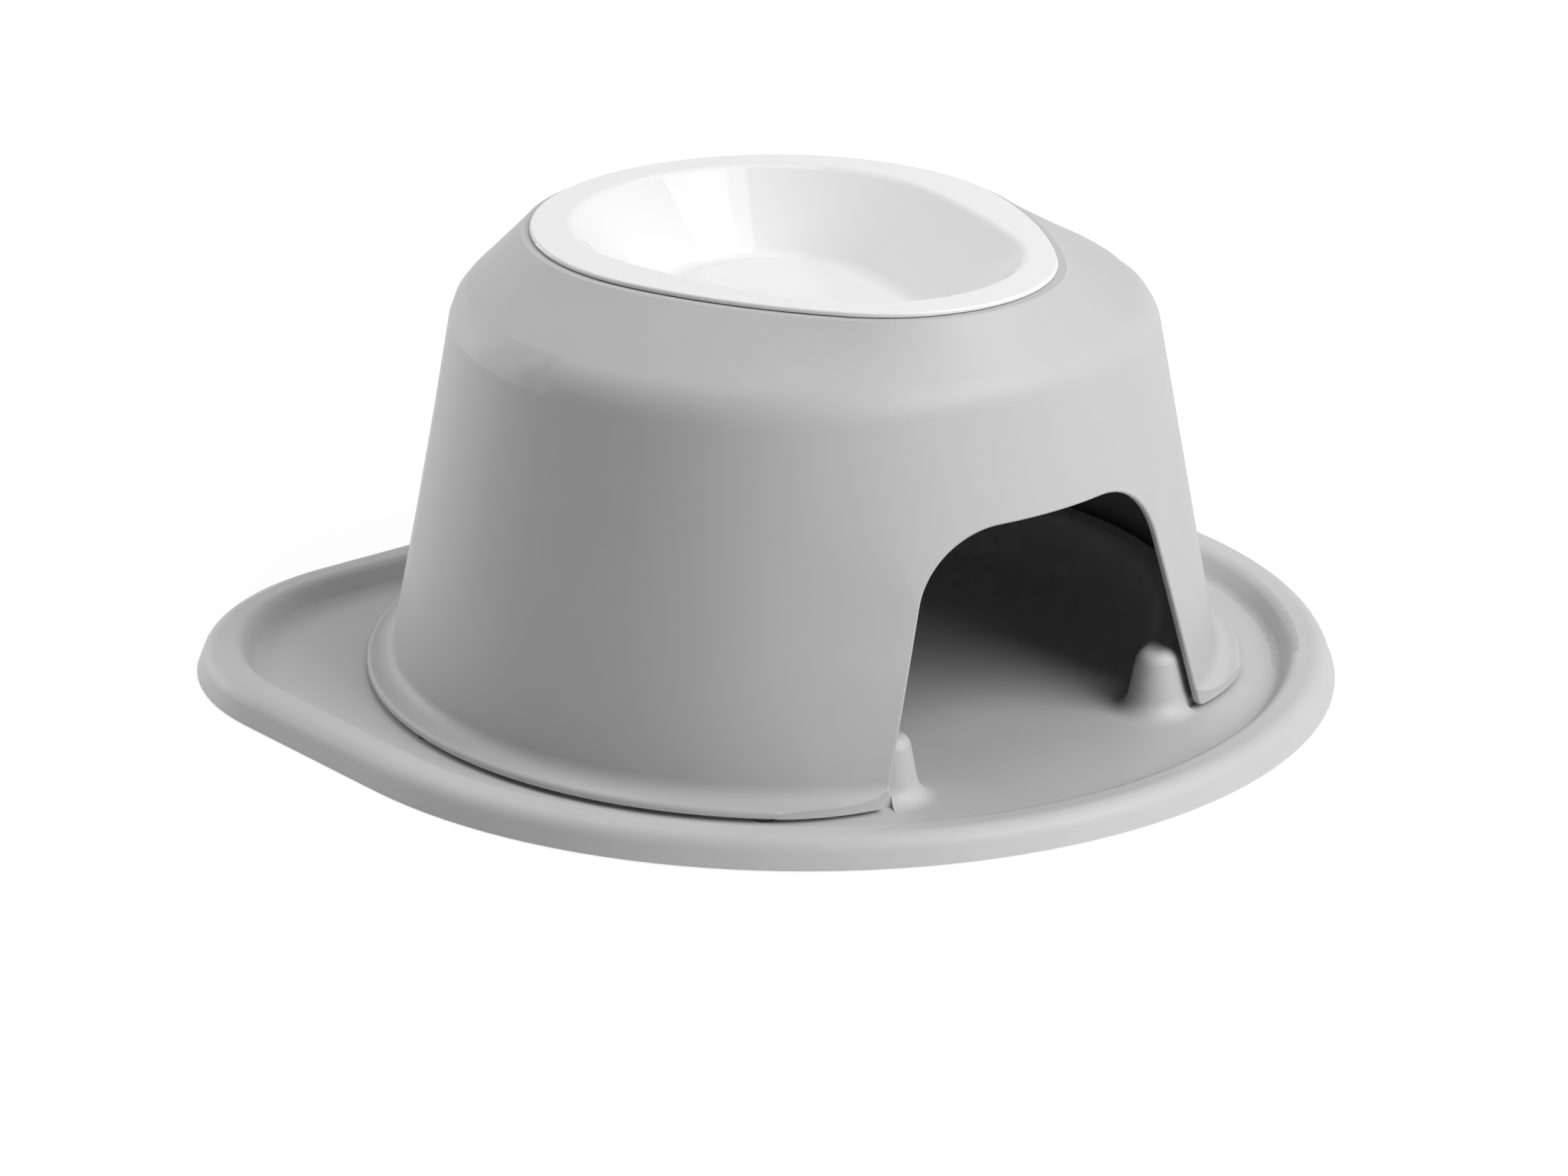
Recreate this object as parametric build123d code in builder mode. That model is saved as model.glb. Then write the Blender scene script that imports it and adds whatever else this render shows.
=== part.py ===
from build123d import *
from math import acos, atan2, cos, degrees, radians, sin, sqrt, tan
import os

# Elevated pet bowl, in millimetres. X runs across, -Y is the front with the arch, Z is up.
# The origin is on the table, under the middle of the tray. The stand and the bowl are drawn
# about the stand's own upright axis, which stands a little behind the origin.

# Bowl, seen from above: an egg has a back round, a nose round and two side rounds
lip_back_radius = 75.6
lip_back_y = 13.8
lip_nose_radius = 53.0
lip_nose_y = -36.2
lip_side_radius = 176.0
lip_back_width = 10.75
lip_side_width = 15.15
lip_front_width = 12.9
mouth_nose_inset = 3.7
mouth_side_radius = 256.0

# Bowl, seen in section
lip_thickness = 1.4
lip_crown_share = 0.5
lip_foot_share = 0.15
bowl_wall = 2.6
bowl_depth = 22.6
mouth_slope = 39.6
mouth_round = 4.0
floor_round = 9.0
base_round = 6.0
foot_ring_inset = 5.0
foot_ring_width = 3.0
foot_ring_height = 1.6

# Seat ring between bowl and stand
ring_proud = 0.3
ring_inset = 2.2
ring_width = 2.6
ring_groove = 1.2
ring_fit = 0.1

# Stand shell
shell_wall = 2.4
wall_draft = 10.63
land_height = 139.0
land_margin = 2.7
land_inner_margin = 0.5
mouth_clearance = 1.5
shoulder_width = 15.87
shoulder_drop = 18.05
shoulder_round = 15.0
flange_width = 7.06
flange_thickness = 2.4
flange_crown_round = 1.4
flange_foot_round = 0.5
flange_back_clearance = 1.8
cove_round = 6.0
flange_corner = 70.0
foot_lap = 0.1
flange_trim_gap = 0.5
flange_trim_draft = 3.0

# Arch through the front of the stand
arch_height = 81.9
arch_foot_width = 128.2
arch_draft = 15.5
arch_round = 28.5
arch_outer_round = 0.7
arch_inner_round = 0.4
arch_toe_round = 4.0
arch_toe_sink = 0.8

# Tray, seen from above
tray_apron = 29.2
tray_back_apron = 14.3
tray_corner = 84.0

# Tray, seen in section
foot_proud = 0.5
tray_sheet = 2.0
rim_height = 9.3
rim_draft = 21.0
rim_width = 18.0
rim_inner_run = 4.4
rim_outer_round = 6.0
rim_inner_round = 4.0
rim_foot_round = 3.0
rim_skin = 2.4
rim_hollow_round = 2.5

# Locating wall on the tray, inside the stand
locator_rise = 19.5
locator_gap = 2.0
locator_width = 18.5
locator_half_opening = 27.4
locator_top_round = 4.2
locator_foot_round = 6.2
locator_skin = 2.6
relief_half_opening = 28.1
relief_margin = 0.5
relief_step = 0.3

# Pads
pad_proud = 1.4
pad_count = 6
pad_fit = 0.1
stand_pad_radius = 3.4
stand_pad_socket = 1.0
stand_pad_half_opening = 45.0
tray_pad_radius = 8.0
tray_pad_socket = 0.6

# Sizes that follow from those above
tray_floor = foot_proud + tray_sheet
shell_bottom = tray_floor + pad_proud
lip_bottom = land_height + ring_proud
lip_top = lip_bottom + lip_thickness
bowl_floor = lip_top - bowl_depth
bowl_base = bowl_floor - bowl_wall
wall_run = tan(radians(wall_draft))
break_height = land_height - shoulder_drop
break_radius = lip_back_y + lip_back_radius + land_margin + shoulder_width
wall_foot_radius = break_radius + break_height * wall_run
flange_radius = wall_foot_radius - shell_bottom * wall_run + flange_width
tray_radius = flange_radius + tray_apron
tray_back = flange_radius + tray_back_apron
stand_y = (tray_radius - tray_back) / 2
stand_axis = Axis((0, stand_y, 0), (0, 0, 1))
standing = (Align.CENTER, Align.CENTER, Align.MIN)


def level(height):
    """A level plane on the stand's axis."""
    return Plane((0, stand_y, height))


def section(angle):
    """An upright plane through the stand's axis, its first direction at an angle from +X."""
    out = (cos(radians(angle)), sin(radians(angle)), 0)
    return Plane((0, stand_y, 0), x_dir=out, z_dir=(out[1], -out[0], 0))


def wall_radius(height):
    """Outside radius of the stand's cone at a height above the table."""
    return wall_foot_radius - height * wall_run


def tray_outline(inset=0.0):
    """Draw the tray's outline, drawn in all round by an inset."""
    side = tray_radius - inset
    back = tray_back - inset
    corner_x = tray_radius - tray_corner
    corner_y = tray_back - tray_corner
    CenterArc((0, 0), side, 180, 180)
    Line((side, 0), (side, corner_y))
    CenterArc((corner_x, corner_y), tray_corner - inset, 0, 90)
    Line((corner_x, back), (-corner_x, back))
    CenterArc((-corner_x, corner_y), tray_corner - inset, 90, 90)
    Line((-side, corner_y), (-side, 0))


class Egg:
    """An egg of four tangent arcs, seen from above, with its nose to the front."""

    def __init__(self, back_radius, back_y, nose_radius, nose_y, side_radius):
        length = back_y - nose_y
        to_back = side_radius - back_radius
        to_nose = side_radius - nose_radius
        drop = (to_back**2 - to_nose**2 + length**2) / (2 * length)
        self.side_x = sqrt(to_back**2 - drop**2)
        self.side_y = back_y - drop
        self.back_y = back_y
        self.nose_y = nose_y
        self.radii = (back_radius, side_radius, nose_radius)
        self.high = degrees(atan2(drop, self.side_x))
        self.low = degrees(atan2(nose_y - self.side_y, self.side_x))

    def outline(self, grow=0.0):
        """Draw the egg, grown outwards all round."""
        back, side, nose = (radius + grow for radius in self.radii)
        span = self.high - self.low
        CenterArc((0, self.back_y), back, self.high, 180 - 2 * self.high)
        CenterArc((self.side_x, self.side_y), side, 180 - self.high, span)
        CenterArc((0, self.nose_y), nose, 180 - self.low, 180 + 2 * self.low)
        CenterArc((-self.side_x, self.side_y), side, self.low, span)

    def circle(self, radius):
        """Draw a circle about the stand's axis, divided where the egg's arcs meet."""
        span = self.high - self.low
        CenterArc((0, 0), radius, self.high, 180 - 2 * self.high)
        CenterArc((0, 0), radius, 180 - self.high, span)
        CenterArc((0, 0), radius, 180 - self.low, 180 + 2 * self.low)
        CenterArc((0, 0), radius, self.low, span)


mouth_back_radius = lip_back_radius - lip_side_width
mouth_back_y = lip_back_y + lip_side_width - lip_back_width
mouth_nose_radius = lip_nose_radius - mouth_nose_inset
mouth_nose_y = lip_nose_y + lip_front_width - mouth_nose_inset
lip = Egg(lip_back_radius, lip_back_y, lip_nose_radius, lip_nose_y, lip_side_radius)
mouth = Egg(mouth_back_radius, mouth_back_y, mouth_nose_radius, mouth_nose_y, mouth_side_radius)

# Bowl: the hollow and the outside of its wall are ruled between eggs, the lip is a slab
slope_run = 1 / tan(radians(mouth_slope))
wall_offset = bowl_wall / sin(radians(mouth_slope))
neck_offset = wall_offset - lip_thickness * slope_run
base_offset = wall_offset - (lip_top - bowl_base) * slope_run

with BuildPart() as bowl_hollow:
    with BuildSketch(level(lip_top)):
        with BuildLine():
            mouth.outline()
        make_face()
    with BuildSketch(level(bowl_floor)):
        with BuildLine():
            mouth.outline(-bowl_depth * slope_run)
        make_face()
    loft(ruled=True)
    fillet(bowl_hollow.edges().group_by(Axis.Z)[0], floor_round)

with BuildPart() as bowl_outside:
    with BuildSketch(level(lip_bottom)):
        with BuildLine():
            mouth.outline(neck_offset)
        make_face()
    with BuildSketch(level(bowl_base)):
        with BuildLine():
            mouth.outline(base_offset)
        make_face()
    loft(ruled=True)
    fillet(bowl_outside.edges().group_by(Axis.Z)[0], base_round)

with BuildPart() as bowl:
    with BuildSketch(level(lip_bottom)):
        with BuildLine():
            lip.outline()
        make_face()
    extrude(amount=lip_thickness)
    fillet(bowl.edges().group_by(Axis.Z)[-1], lip_thickness * lip_crown_share)
    fillet(bowl.edges().group_by(Axis.Z)[0], lip_thickness * lip_foot_share)
    add(bowl_outside.part)
    add(bowl_hollow.part, mode=Mode.SUBTRACT)
    fillet(bowl.edges(Select.LAST).group_by(Axis.Z)[-1], mouth_round)
    with BuildSketch(level(bowl_base)):
        with BuildLine():
            mouth.outline(base_offset - foot_ring_inset)
        make_face()
        with BuildLine():
            mouth.outline(base_offset - foot_ring_inset - foot_ring_width)
        make_face(mode=Mode.SUBTRACT)
    extrude(amount=-foot_ring_height)

# Seat ring and the groove it lies in
with BuildPart() as seat_ring:
    with BuildSketch(level(land_height - ring_groove)):
        with BuildLine():
            lip.outline(-ring_inset)
        make_face()
        with BuildLine():
            lip.outline(-ring_inset - ring_width)
        make_face(mode=Mode.SUBTRACT)
    extrude(amount=ring_groove + ring_proud)

with BuildPart() as seat_groove:
    with BuildSketch(level(land_height - ring_groove)):
        with BuildLine():
            lip.outline(-ring_inset + ring_fit)
        make_face()
        with BuildLine():
            lip.outline(-ring_inset - ring_width - ring_fit)
        make_face(mode=Mode.SUBTRACT)
    extrude(amount=ring_groove)

# Inside of the stand: the same cone and shoulder, one wall further in
cavity_break = break_height - shell_wall * tan(radians(45 - wall_draft / 2))
with BuildPart() as cavity:
    with BuildSketch(level(0)):
        with BuildLine():
            lip.circle(wall_radius(0) - shell_wall)
        make_face()
    with BuildSketch(level(cavity_break)):
        with BuildLine():
            lip.circle(wall_radius(cavity_break) - shell_wall)
        make_face()
    with BuildSketch(level(land_height - shell_wall)):
        with BuildLine():
            lip.outline(land_inner_margin)
        make_face()
    loft(ruled=True)
    turn = cavity.edges().filter_by_position(Axis.Z, cavity_break - 0.1, cavity_break + 0.1)
    fillet(turn, shoulder_round - shell_wall)

# Arch: its sides lean in, its top corners are round, and it widens in a round at the stand's feet
toe_level = shell_bottom - arch_toe_sink
with BuildPart() as arch:
    with BuildSketch(section(0)) as arch_face:
        head_width = arch_foot_width - 2 * arch_height * tan(radians(arch_draft))
        with BuildLine():
            Polyline(
                (-arch_foot_width / 2, 0),
                (arch_foot_width / 2, 0),
                (head_width / 2, arch_height),
                (-head_width / 2, arch_height),
                close=True,
            )
        make_face()
        fillet(arch_face.vertices().group_by(Axis.Y)[-1], arch_round)
        with Locations((0, toe_level / 2)):
            Rectangle(arch_foot_width + 4 * arch_toe_round, toe_level)
        toe_corners = arch_face.vertices().group_by(Axis.Y)[1]
        fillet(toe_corners.sort_by(lambda corner: abs(corner.X))[:2], arch_toe_round)
    extrude(amount=tray_radius)

# What is trimmed from the flange: its back is cut flat, and towards the arch its edge turns in
# on a corner arc, which ends a little outside the wall's foot
foot_x = arch_foot_width / 2 - shell_bottom * tan(radians(arch_draft))
foot_y = sqrt((wall_radius(shell_bottom) - shell_wall) ** 2 - foot_x**2) + shell_wall + foot_lap
foot_reach = sqrt(foot_x**2 + foot_y**2)
keep_radius = flange_radius + flange_trim_gap
corner_reach = keep_radius - flange_corner
corner_turn = acos((corner_reach**2 + foot_reach**2 - flange_corner**2) / (2 * corner_reach * foot_reach))
corner_angle = degrees(corner_turn - atan2(foot_y, foot_x))
corner_x = corner_reach * cos(radians(corner_angle))
corner_y = corner_reach * sin(radians(corner_angle))
with BuildPart() as flange_keep:
    with BuildSketch(level(shell_bottom)):
        with BuildLine():
            CenterArc((0, 0), keep_radius, corner_angle, 180 - 2 * corner_angle)
            CenterArc((-corner_x, corner_y), flange_corner, 180 - corner_angle, 90 + corner_angle)
            Line((-corner_x, corner_y - flange_corner), (corner_x, corner_y - flange_corner))
            CenterArc((corner_x, corner_y), flange_corner, -90, 90 + corner_angle)
        make_face()
    extrude(amount=flange_thickness + 2 * cove_round, taper=flange_trim_draft)

with BuildPart() as flange_trim:
    with Locations(level(shell_bottom)):
        Cylinder(2 * flange_radius, flange_thickness + cove_round, align=standing)
    add(flange_keep.part, mode=Mode.SUBTRACT)
    with Locations(level(0)):
        with Locations((0, tray_back - rim_width - flange_back_clearance)):
            Box(
                2 * flange_radius,
                flange_radius,
                shell_bottom + flange_thickness + cove_round,
                align=(Align.CENTER, Align.MIN, Align.MIN),
            )


def beside(cut):
    """A test for edges that run along the surface of a cut."""
    return lambda edge: all(cut.distance_to(edge.position_at(part)) < 0.01 for part in (0, 0.5, 1))


def outside_middle(edge):
    """Whether an edge lies outside the middle of the stand's wall."""
    middle = edge.position_at(0.5)
    reach = sqrt(middle.X**2 + (middle.Y - stand_y) ** 2)
    return reach > wall_radius(middle.Z) - shell_wall / 2


# Stand
pad_circle = (wall_radius(shell_bottom) - shell_wall + flange_radius) / 2
pad_sweep = 360 - 2 * stand_pad_half_opening
flange_top = shell_bottom + flange_thickness


def stand_pads():
    """Places for the pads under the flange, none of them in front of the arch."""
    return PolarLocations(pad_circle, pad_count, stand_pad_half_opening - 90, pad_sweep, endpoint=True)


with BuildPart() as flange:
    with BuildSketch(level(shell_bottom)):
        Circle(flange_radius)
    extrude(amount=flange_thickness, taper=wall_draft)
    fillet(flange.edges().group_by(Axis.Z)[-1], flange_crown_round)
    fillet(flange.edges().group_by(Axis.Z)[0], flange_foot_round)

with BuildPart() as stand:
    with BuildSketch(level(shell_bottom)):
        with BuildLine():
            lip.circle(wall_radius(shell_bottom))
        make_face()
    with BuildSketch(level(break_height)):
        with BuildLine():
            lip.circle(wall_radius(break_height))
        make_face()
    with BuildSketch(level(land_height)):
        with BuildLine():
            lip.outline(land_margin)
        make_face()
    loft(ruled=True)
    turn = stand.edges().filter_by_position(Axis.Z, break_height - 0.1, break_height + 0.1)
    fillet(turn, shoulder_round)
    add(flange.part)
    low_circles = stand.edges().filter_by(GeomType.CIRCLE).filter_by_position(
        Axis.Z, flange_top - 0.1, flange_top + 0.1
    )
    fillet(low_circles.sort_by(SortBy.RADIUS)[0], cove_round)
    add(flange_trim.part, mode=Mode.SUBTRACT)
    add(cavity.part, mode=Mode.SUBTRACT)
    with BuildSketch(level(land_height)):
        with BuildLine():
            mouth.outline(neck_offset + mouth_clearance)
        make_face()
    extrude(amount=-2 * shell_wall, mode=Mode.SUBTRACT)
    add(seat_groove.part, mode=Mode.SUBTRACT)
    with Locations(level(shell_bottom)):
        with stand_pads():
            Cylinder(stand_pad_radius + pad_fit, stand_pad_socket, align=standing, mode=Mode.SUBTRACT)
    add(arch.part, mode=Mode.SUBTRACT)
    arch_edges = stand.edges().filter_by(beside(arch.part)).filter_by(Axis.Y, reverse=True)
    arch_edges = arch_edges.filter_by_position(Axis.Z, shell_bottom + 0.1, break_height)
    fillet(arch_edges.filter_by(outside_middle), arch_outer_round)
    arch_edges = stand.edges().filter_by(beside(arch.part)).filter_by(Axis.Y, reverse=True)
    arch_edges = arch_edges.filter_by_position(Axis.Z, shell_bottom + 0.1, break_height)
    fillet(arch_edges.filter_by(outside_middle, reverse=True), arch_inner_round)

with BuildPart() as stand_feet:
    with Locations(level(tray_floor)):
        with stand_pads():
            Cylinder(stand_pad_radius, pad_proud + stand_pad_socket, align=standing)

# Tray rim: outside, basin and the hollow beneath
rim_run = tan(radians(rim_draft))
basin_run = rim_inner_run / (rim_height - tray_floor)
basin_skin = rim_skin * sqrt(1 + basin_run**2)
hollow_inset = rim_skin / cos(radians(rim_draft))
hollow_height = rim_height - rim_skin - foot_proud
with BuildPart() as basin:
    with BuildSketch(level(tray_floor)):
        with BuildLine():
            tray_outline(rim_width)
        make_face()
    with BuildSketch(level(rim_height)):
        with BuildLine():
            tray_outline(rim_width - rim_inner_run)
        make_face()
    loft(ruled=True)
    fillet(basin.edges().group_by(Axis.Z)[0], rim_foot_round)

with BuildPart() as rim_hollow:
    with BuildSketch(level(foot_proud)):
        with BuildLine():
            tray_outline(hollow_inset)
        make_face()
    with BuildSketch(level(foot_proud + hollow_height)):
        with BuildLine():
            tray_outline(hollow_inset + hollow_height * rim_run)
        make_face()
    loft(ruled=True)
    fillet(rim_hollow.edges().group_by(Axis.Z)[-1], rim_hollow_round)
    hollow_foot = rim_width + tray_sheet * basin_run - basin_skin
    with BuildSketch(level(foot_proud)):
        with BuildLine():
            tray_outline(hollow_foot)
        make_face()
    with BuildSketch(level(foot_proud + hollow_height)):
        with BuildLine():
            tray_outline(hollow_foot - hollow_height * basin_run)
        make_face()
    loft(ruled=True, mode=Mode.SUBTRACT)

# Locating wall: a bent slot that leans in with the stand's wall, hollow beneath
locator_outer = wall_radius(tray_floor) - shell_wall - locator_gap
locator_middle = locator_outer - locator_width / 2
locator_sweep = 360 - 2 * locator_half_opening
with BuildPart() as locator:
    with BuildSketch(level(tray_floor)):
        with BuildLine() as locator_path:
            CenterArc((0, 0), locator_middle, locator_half_opening - 90, locator_sweep)
        SlotArc(locator_path.edge(), locator_width)
    extrude(amount=locator_rise, taper=wall_draft)
    fillet(locator.edges().group_by(Axis.Z)[-1], locator_top_round)

with BuildPart() as locator_hollow:
    with BuildSketch(level(foot_proud)):
        with BuildLine() as hollow_path:
            CenterArc((0, 0), locator_middle, locator_half_opening - 90, locator_sweep)
        SlotArc(hollow_path.edge(), locator_width - 2 * locator_skin)
    extrude(amount=tray_sheet + locator_rise - locator_skin, taper=wall_draft)

# Room for the stand's foot, cut from the outside of the locating wall's foot round
relief_top = shell_bottom + cove_round
relief_inner = locator_outer + relief_step
relief_outer = locator_outer + locator_foot_round + relief_margin
with BuildPart() as relief:
    with BuildSketch(section(relief_half_opening - 90)):
        with BuildLine():
            Polyline(
                (relief_inner, tray_floor),
                (relief_outer, tray_floor),
                (relief_outer, relief_top),
                (relief_inner - (relief_top - tray_floor) * wall_run, relief_top),
                close=True,
            )
        make_face()
    revolve(axis=stand_axis, revolution_arc=360 - 2 * relief_half_opening)

# Tray
with BuildPart() as tray:
    with BuildSketch(level(foot_proud)):
        with BuildLine():
            tray_outline()
        make_face()
    with BuildSketch(level(rim_height)):
        with BuildLine():
            tray_outline((rim_height - foot_proud) * rim_run)
        make_face()
    loft(ruled=True)
    fillet(tray.edges().group_by(Axis.Z)[-1], rim_outer_round)
    add(basin.part, mode=Mode.SUBTRACT)
    fillet(tray.edges(Select.LAST).group_by(Axis.Z)[-1], rim_inner_round)
    add(rim_hollow.part, mode=Mode.SUBTRACT)
    add(locator.part)
    fillet(tray.edges(Select.LAST).group_by(Axis.Z)[0], locator_foot_round)
    add(relief.part, mode=Mode.SUBTRACT)
    add(locator_hollow.part, mode=Mode.SUBTRACT)
    with Locations(level(foot_proud)):
        with PolarLocations(flange_radius, pad_count):
            Cylinder(tray_pad_radius + pad_fit, tray_pad_socket, align=standing, mode=Mode.SUBTRACT)

with BuildPart() as tray_feet:
    with Locations(level(0)):
        with PolarLocations(flange_radius, pad_count):
            Cylinder(tray_pad_radius, foot_proud + tray_pad_socket, align=standing)

tray.part.label = "tray"
tray_feet.part.label = "tray_feet"
stand.part.label = "stand"
stand_feet.part.label = "stand_feet"
seat_ring.part.label = "seat_ring"
bowl.part.label = "bowl"

os.makedirs("parts", exist_ok=True)
export_step(tray.part, "parts/tray.step")
export_step(tray_feet.part, "parts/tray_feet.step")
export_step(stand.part, "parts/stand.step")
export_step(stand_feet.part, "parts/stand_feet.step")
export_step(seat_ring.part, "parts/seat_ring.step")
export_step(bowl.part, "parts/bowl.step")
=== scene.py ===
"""Looks of the elevated pet bowl: two light grey mouldings, a glossy white dish and dark rubber.

Metres and degrees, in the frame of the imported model: +Z up, the arch faces -Y, the table is at Z = 0.
"""
import math

import bpy
from mathutils import Matrix, Vector


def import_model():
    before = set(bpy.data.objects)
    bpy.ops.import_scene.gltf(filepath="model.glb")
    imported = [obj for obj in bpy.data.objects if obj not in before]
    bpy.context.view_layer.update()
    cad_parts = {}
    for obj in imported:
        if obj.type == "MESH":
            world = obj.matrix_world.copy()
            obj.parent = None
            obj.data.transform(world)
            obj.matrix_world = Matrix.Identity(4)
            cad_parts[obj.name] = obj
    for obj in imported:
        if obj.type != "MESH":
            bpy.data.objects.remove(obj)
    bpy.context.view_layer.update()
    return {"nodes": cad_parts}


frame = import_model()
nodes = frame["nodes"]
scene = bpy.context.scene

# The stand's outer wall: a cone around an upright axis, whose radius shrinks with height
STAND_Y = 0.00745
WALL_FOOT_RADIUS = 0.13067
WALL_RUN = 0.18769
SHELL_WALL = 0.0024

# Painted shade on the stand's inner face: it is darker from this share of the wall's thickness
# inwards, and the painted shade fades out between these two heights
PAINTED_SHADE_START = 0.8
PAINTED_SHADE_FADE = (0.100, 0.114)

# Greys of the pieces
TRAY_GREY = 0.57
STAND_GREY = 0.535
# Painted shade: the grey painted on the stand's inner face, darker than its own plastic
STAND_PAINTED_SHADE_GREY = 0.30
BOWL_WHITE = 0.9
RUBBER_DARKEST = (0.03, 0.03, 0.031)
RUBBER_LIGHTEST = (0.045, 0.045, 0.046)

# Most of a noise texture's values lie between these
NOISE_LOW = 0.3
NOISE_HIGH = 0.7

# The photograph's camera: its place, aim and lens were solved from the object's own outlines
CAMERA_PLACE = (-1.045393, -1.249365 + STAND_Y, 0.636765)
CAMERA_TURN = -39.7004
CAMERA_PITCH = 20.5912
LENS_PIXELS = 7850.127
PHOTO_WIDTH_PIXELS = 2212.0
SENSOR_WIDTH = 36.0

# The floor glows for the camera and for reflections, and fades to plain white far out
FLOOR_REACH = 6.0
FLOOR_GREY = 0.8
FLOOR_GLOW = 0.75
FLOOR_GLOW_STRENGTH = 1.16
FLOOR_FADE = (0.5, 1.2)

# The lamps stand this far from a point this high above the origin, and point at it
LAMP_DISTANCE = 1.8
LAMP_AIM = 0.05


# Camera

def photo_camera():
    """The photograph's camera, looking down on the arch from the front left."""
    turn = math.radians(CAMERA_TURN)
    pitch = math.radians(CAMERA_PITCH)
    right = Vector((math.cos(turn), math.sin(turn), 0.0))
    ahead = Vector((
        -math.sin(turn) * math.cos(pitch),
        math.cos(turn) * math.cos(pitch),
        -math.sin(pitch),
    ))
    up = right.cross(ahead)
    lens = bpy.data.cameras.new("photo_camera")
    lens.sensor_fit = "HORIZONTAL"
    lens.sensor_width = SENSOR_WIDTH
    lens.lens = LENS_PIXELS * SENSOR_WIDTH / PHOTO_WIDTH_PIXELS
    lens.clip_start = 0.05
    lens.clip_end = 20.0
    camera = bpy.data.objects.new("photo_camera", lens)
    camera.matrix_world = Matrix((
        (right.x, up.x, -ahead.x, CAMERA_PLACE[0]),
        (right.y, up.y, -ahead.y, CAMERA_PLACE[1]),
        (right.z, up.z, -ahead.z, CAMERA_PLACE[2]),
        (0.0, 0.0, 0.0, 1.0),
    ))
    scene.collection.objects.link(camera)
    scene.camera = camera


# Materials

class Wiring:
    """The nodes of a material or of the world, with short calls to add and join them."""

    def __init__(self, owner, output, shader):
        owner.use_nodes = True
        self.owner = owner
        self.tree = owner.node_tree
        self.tree.nodes.clear()
        self.output = self.add(output)
        self.shader = self.add(shader)
        self.feed(self.output.inputs["Surface"], self.shader.outputs[0])

    def add(self, kind, **settings):
        node = self.tree.nodes.new(kind)
        for key, value in settings.items():
            setattr(node, key, value)
        return node

    def feed(self, socket, value):
        """Gives an input another node's output, or else a plain value."""
        if isinstance(value, bpy.types.NodeSocket):
            self.tree.links.new(value, socket)
        else:
            socket.default_value = value

    def math(self, operation, *values):
        node = self.add("ShaderNodeMath", operation=operation)
        for socket, value in zip(node.inputs, values):
            self.feed(socket, value)
        return node.outputs["Value"]

    def ramp(self, value, start, end, low=0.0, high=1.0):
        """A number that runs from low to high while the value runs from start to end."""
        node = self.add("ShaderNodeMapRange")
        self.feed(node.inputs["Value"], value)
        self.feed(node.inputs["From Min"], start)
        self.feed(node.inputs["From Max"], end)
        self.feed(node.inputs["To Min"], low)
        self.feed(node.inputs["To Max"], high)
        return node.outputs["Result"]

    def place(self):
        return self.add("ShaderNodeTexCoord").outputs["Object"]

    def noise(self, size, detail=2.0):
        """Noise whose features are about size metres across."""
        node = self.add("ShaderNodeTexNoise")
        self.feed(node.inputs["Vector"], self.place())
        self.feed(node.inputs["Scale"], 1.0 / size)
        self.feed(node.inputs["Detail"], detail)
        return node.outputs["Fac"]

    def between(self, noise, low, high):
        """A number that runs from low to high with the noise."""
        return self.ramp(noise, NOISE_LOW, NOISE_HIGH, low, high)

    def colours(self, factor, low, high):
        """A colour that runs from low to high with the factor."""
        node = self.add("ShaderNodeMix", data_type="RGBA")
        self.feed(node.inputs["Factor"], factor)
        self.feed(node.inputs["A"], low)
        self.feed(node.inputs["B"], high)
        return node.outputs["Result"]

    def tones(self, noise, low, high):
        """A colour that runs from low to high with the noise."""
        return self.colours(self.between(noise, 0.0, 1.0), (*low, 1.0), (*high, 1.0))

    def bump(self, height, distance):
        node = self.add("ShaderNodeBump")
        self.feed(node.inputs["Distance"], distance)
        self.feed(node.inputs["Height"], height)
        return node.outputs["Normal"]

    def seen_rays(self):
        """One for a ray from the camera, a mirror or clear material, and nought for any other."""
        path = self.add("ShaderNodeLightPath").outputs
        either = self.math("MAXIMUM", path["Is Camera Ray"], path["Is Glossy Ray"])
        return self.math("MAXIMUM", either, path["Is Transmission Ray"])


def new_material(name):
    """A material with nothing but its shader, joined to the output."""
    material = bpy.data.materials.new(name)
    return Wiring(material, "ShaderNodeOutputMaterial", "ShaderNodeBsdfPrincipled")


def painted_inner_shade(m, outside, painted_shade):
    """The outside colour, turned to a painted shade colour on the stand's inner face, below its top."""
    split = m.add("ShaderNodeSeparateXYZ")
    m.feed(split.inputs["Vector"], m.place())
    across = split.outputs["X"]
    height = split.outputs["Z"]
    deep = m.math("SUBTRACT", split.outputs["Y"], STAND_Y)
    squares = m.math("ADD", m.math("MULTIPLY", across, across), m.math("MULTIPLY", deep, deep))
    outer_wall = m.math("SUBTRACT", WALL_FOOT_RADIUS, m.math("MULTIPLY", height, WALL_RUN))
    depth = m.math("SUBTRACT", outer_wall, m.math("SQRT", squares))
    shaded_inner_face = m.ramp(depth, PAINTED_SHADE_START * SHELL_WALL, SHELL_WALL)
    below_top = m.ramp(height, PAINTED_SHADE_FADE[1], PAINTED_SHADE_FADE[0])
    return m.colours(m.math("MULTIPLY", shaded_inner_face, below_top), outside, (*painted_shade, 1.0))


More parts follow.
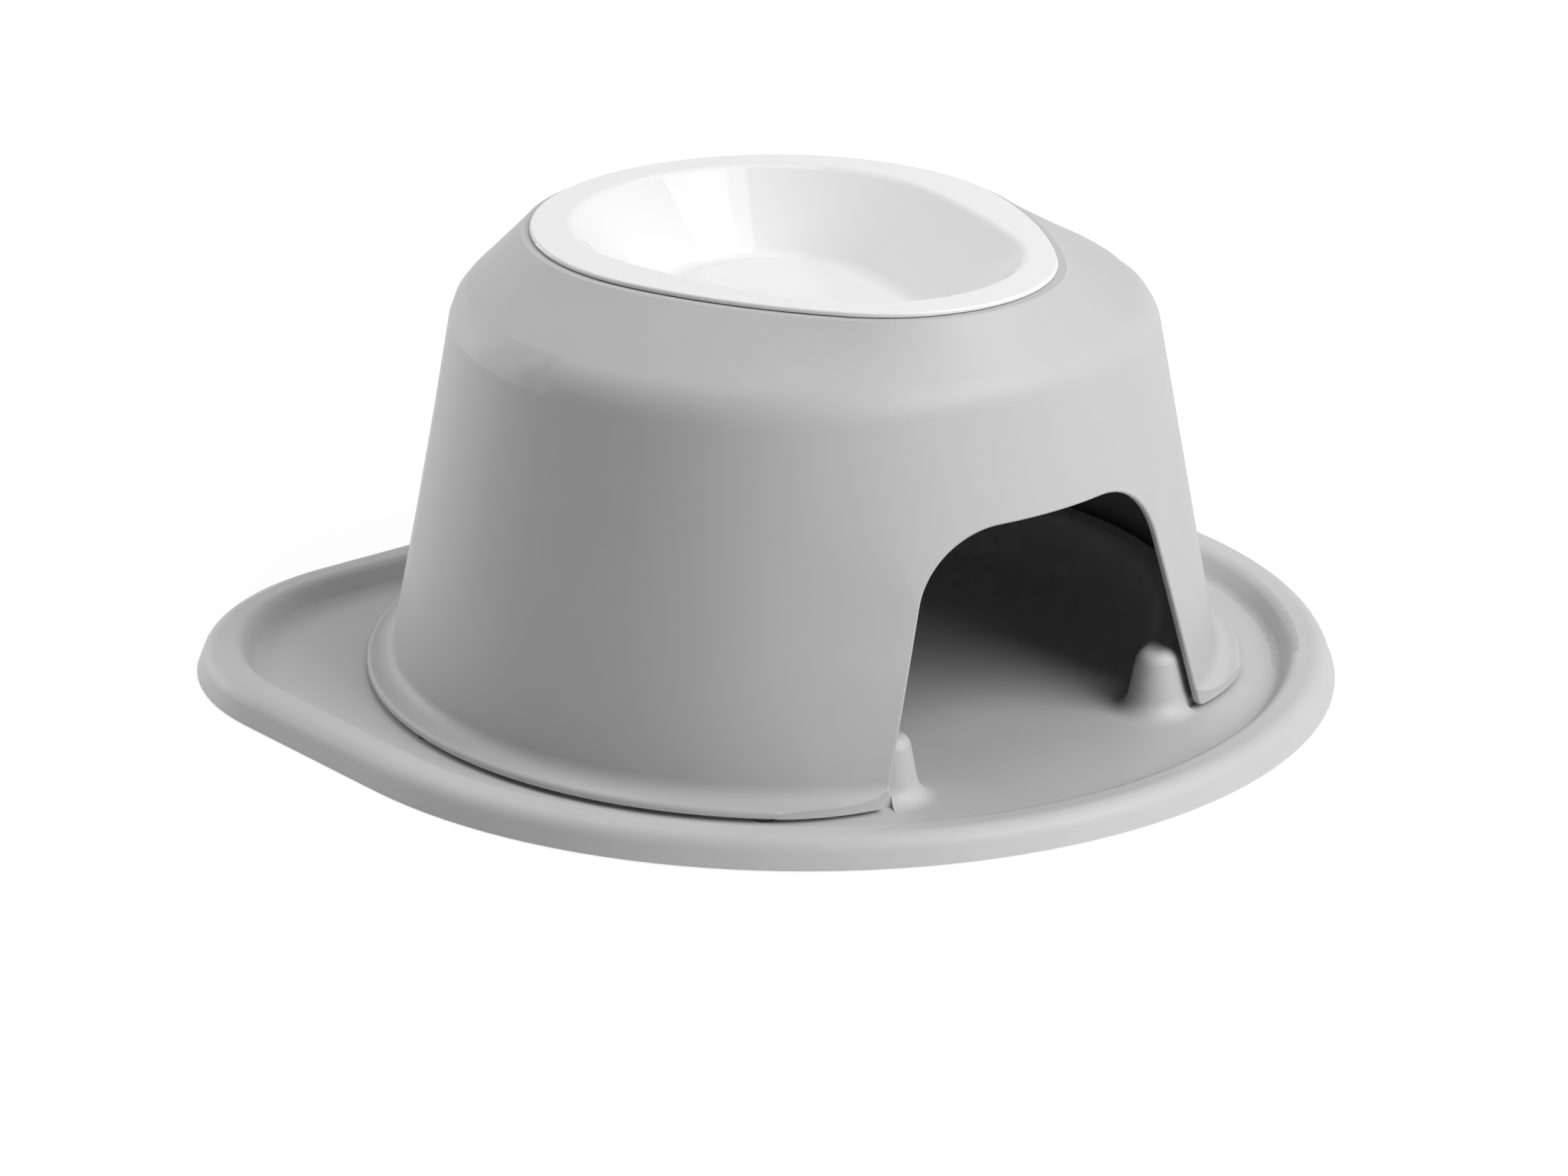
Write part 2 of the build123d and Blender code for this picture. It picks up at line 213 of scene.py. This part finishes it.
def matt_plastic(name, grey, painted_shade=None):
    """Moulded plastic with a fine grain and a faint unevenness of tone; given a shade grey, it gets
    painted shade on the stand's inner face.
    """
    m = new_material(name)
    s = m.shader.inputs
    grain = m.noise(size=0.0007)
    colour = m.tones(m.noise(size=0.035, detail=3.0), (grey * 0.985,) * 3, (grey * 1.015,) * 3)
    # Painted shade: the stand's inner face is turned darker
    if painted_shade is not None:
        colour = painted_inner_shade(m, colour, (painted_shade,) * 3)
    m.feed(s["Base Color"], colour)
    m.feed(s["Roughness"], m.between(grain, low=0.46, high=0.54))
    m.feed(s["Normal"], m.bump(grain, distance=0.00002))
    return m.owner


def gloss_plastic(name, white):
    """Glossy plastic: smooth, with a faint long wave that bends its reflections."""
    m = new_material(name)
    s = m.shader.inputs
    colour = m.tones(m.noise(size=0.05), (white * 0.99,) * 3, (white,) * 3)
    m.feed(s["Base Color"], colour)
    m.feed(s["Roughness"], m.between(m.noise(size=0.012), low=0.035, high=0.05))
    m.feed(s["Normal"], m.bump(m.noise(size=0.03, detail=1.0), distance=0.00003))
    return m.owner


def dark_rubber(name):
    """Soft rubber, nearly black, with a dusty grain."""
    m = new_material(name)
    s = m.shader.inputs
    grain = m.noise(size=0.0005, detail=3.0)
    m.feed(s["Base Color"], m.tones(grain, RUBBER_DARKEST, RUBBER_LIGHTEST))
    m.feed(s["Roughness"], m.between(grain, low=0.65, high=0.8))
    m.feed(s["Normal"], m.bump(grain, distance=0.00003))
    return m.owner


def dress(node, material):
    """Puts one material in every slot of a node."""
    mesh = nodes[node].data
    if not mesh.materials:
        mesh.materials.append(material)
    for slot in range(len(mesh.materials)):
        mesh.materials[slot] = material


# Studio

def floor():
    """A wide flat floor that the camera sees as white, apart from the object's shadow."""
    reach = FLOOR_REACH
    corners = [
        (-reach, -reach, 0.0), (reach, -reach, 0.0), (reach, reach, 0.0), (-reach, reach, 0.0),
    ]
    mesh = bpy.data.meshes.new("floor")
    mesh.from_pydata(corners, [], [(0, 1, 2, 3)])
    plane = bpy.data.objects.new("floor", mesh)
    scene.collection.objects.link(plane)

    m = new_material("floor_white")
    m.feed(m.shader.inputs["Roughness"], 0.9)
    m.feed(m.shader.inputs["Base Color"], (FLOOR_GREY, FLOOR_GREY, FLOOR_GREY, 1.0))
    far_out = m.add("ShaderNodeVectorMath", operation="LENGTH")
    m.feed(far_out.inputs[0], m.place())
    fade = m.ramp(far_out.outputs["Value"], *FLOOR_FADE, FLOOR_GLOW, 1.0 / FLOOR_GLOW_STRENGTH)
    glow = m.add("ShaderNodeEmission")
    m.feed(glow.inputs["Color"], (1.0, 1.0, 1.0, 1.0))
    m.feed(glow.inputs["Strength"], FLOOR_GLOW_STRENGTH)
    mix = m.add("ShaderNodeMixShader")
    m.feed(mix.inputs["Fac"], m.math("MULTIPLY", fade, m.seen_rays()))
    m.feed(mix.inputs[1], m.shader.outputs["BSDF"])
    m.feed(mix.inputs[2], glow.outputs["Emission"])
    m.feed(m.output.inputs["Surface"], mix.outputs["Shader"])
    mesh.materials.append(m.owner)


def world():
    """White surroundings for the camera and for reflections. They give no light themselves."""
    w = Wiring(bpy.data.worlds.new("studio"), "ShaderNodeOutputWorld", "ShaderNodeBackground")
    w.feed(w.shader.inputs["Color"], (1.0, 1.0, 1.0, 1.0))
    w.feed(w.shader.inputs["Strength"], w.seen_rays())
    scene.world = w.owner


def studio_lamp(name, turn, rise, size, power, mirrored=True):
    """A square soft lamp, turned from the front towards +X and raised above the floor."""
    around = math.radians(turn)
    above = math.radians(rise)
    place = Vector((
        LAMP_DISTANCE * math.cos(above) * math.sin(around),
        -LAMP_DISTANCE * math.cos(above) * math.cos(around),
        LAMP_DISTANCE * math.sin(above) + LAMP_AIM,
    ))
    lamp = bpy.data.lights.new(name, "AREA")
    lamp.shape = "SQUARE"
    lamp.size = size
    lamp.energy = power
    holder = bpy.data.objects.new(name, lamp)
    holder.location = place
    aim = Vector((0.0, 0.0, LAMP_AIM)) - place
    holder.rotation_euler = aim.to_track_quat("-Z", "Y").to_euler()
    holder.visible_glossy = mirrored
    scene.collection.objects.link(holder)


photo_camera()

dress("tray", matt_plastic("tray_matt_plastic", TRAY_GREY))
# The stand's material carries painted shade on its inner face
dress("stand", matt_plastic("stand_matt_plastic_with_painted_shade", STAND_GREY, painted_shade=STAND_PAINTED_SHADE_GREY))
dress("bowl", gloss_plastic("bowl_gloss_plastic", BOWL_WHITE))
dress("seat_ring", dark_rubber("seat_ring_rubber"))
dress("stand_feet", dark_rubber("stand_feet_rubber"))
dress("tray_feet", dark_rubber("tray_feet_rubber"))

floor()
world()
studio_lamp("key_front_right", turn=17.0, rise=39.0, size=1.4, power=30.5)
studio_lamp("back_left_low", turn=-162.0, rise=12.0, size=0.9, power=8.6)
studio_lamp("back_left_high", turn=-162.0, rise=35.0, size=0.9, power=8.2, mirrored=False)
studio_lamp("top", turn=50.0, rise=72.0, size=0.8, power=3.2)
studio_lamp("top_back", turn=120.0, rise=68.0, size=1.2, power=4.6)

scene.view_settings.view_transform = "Standard"
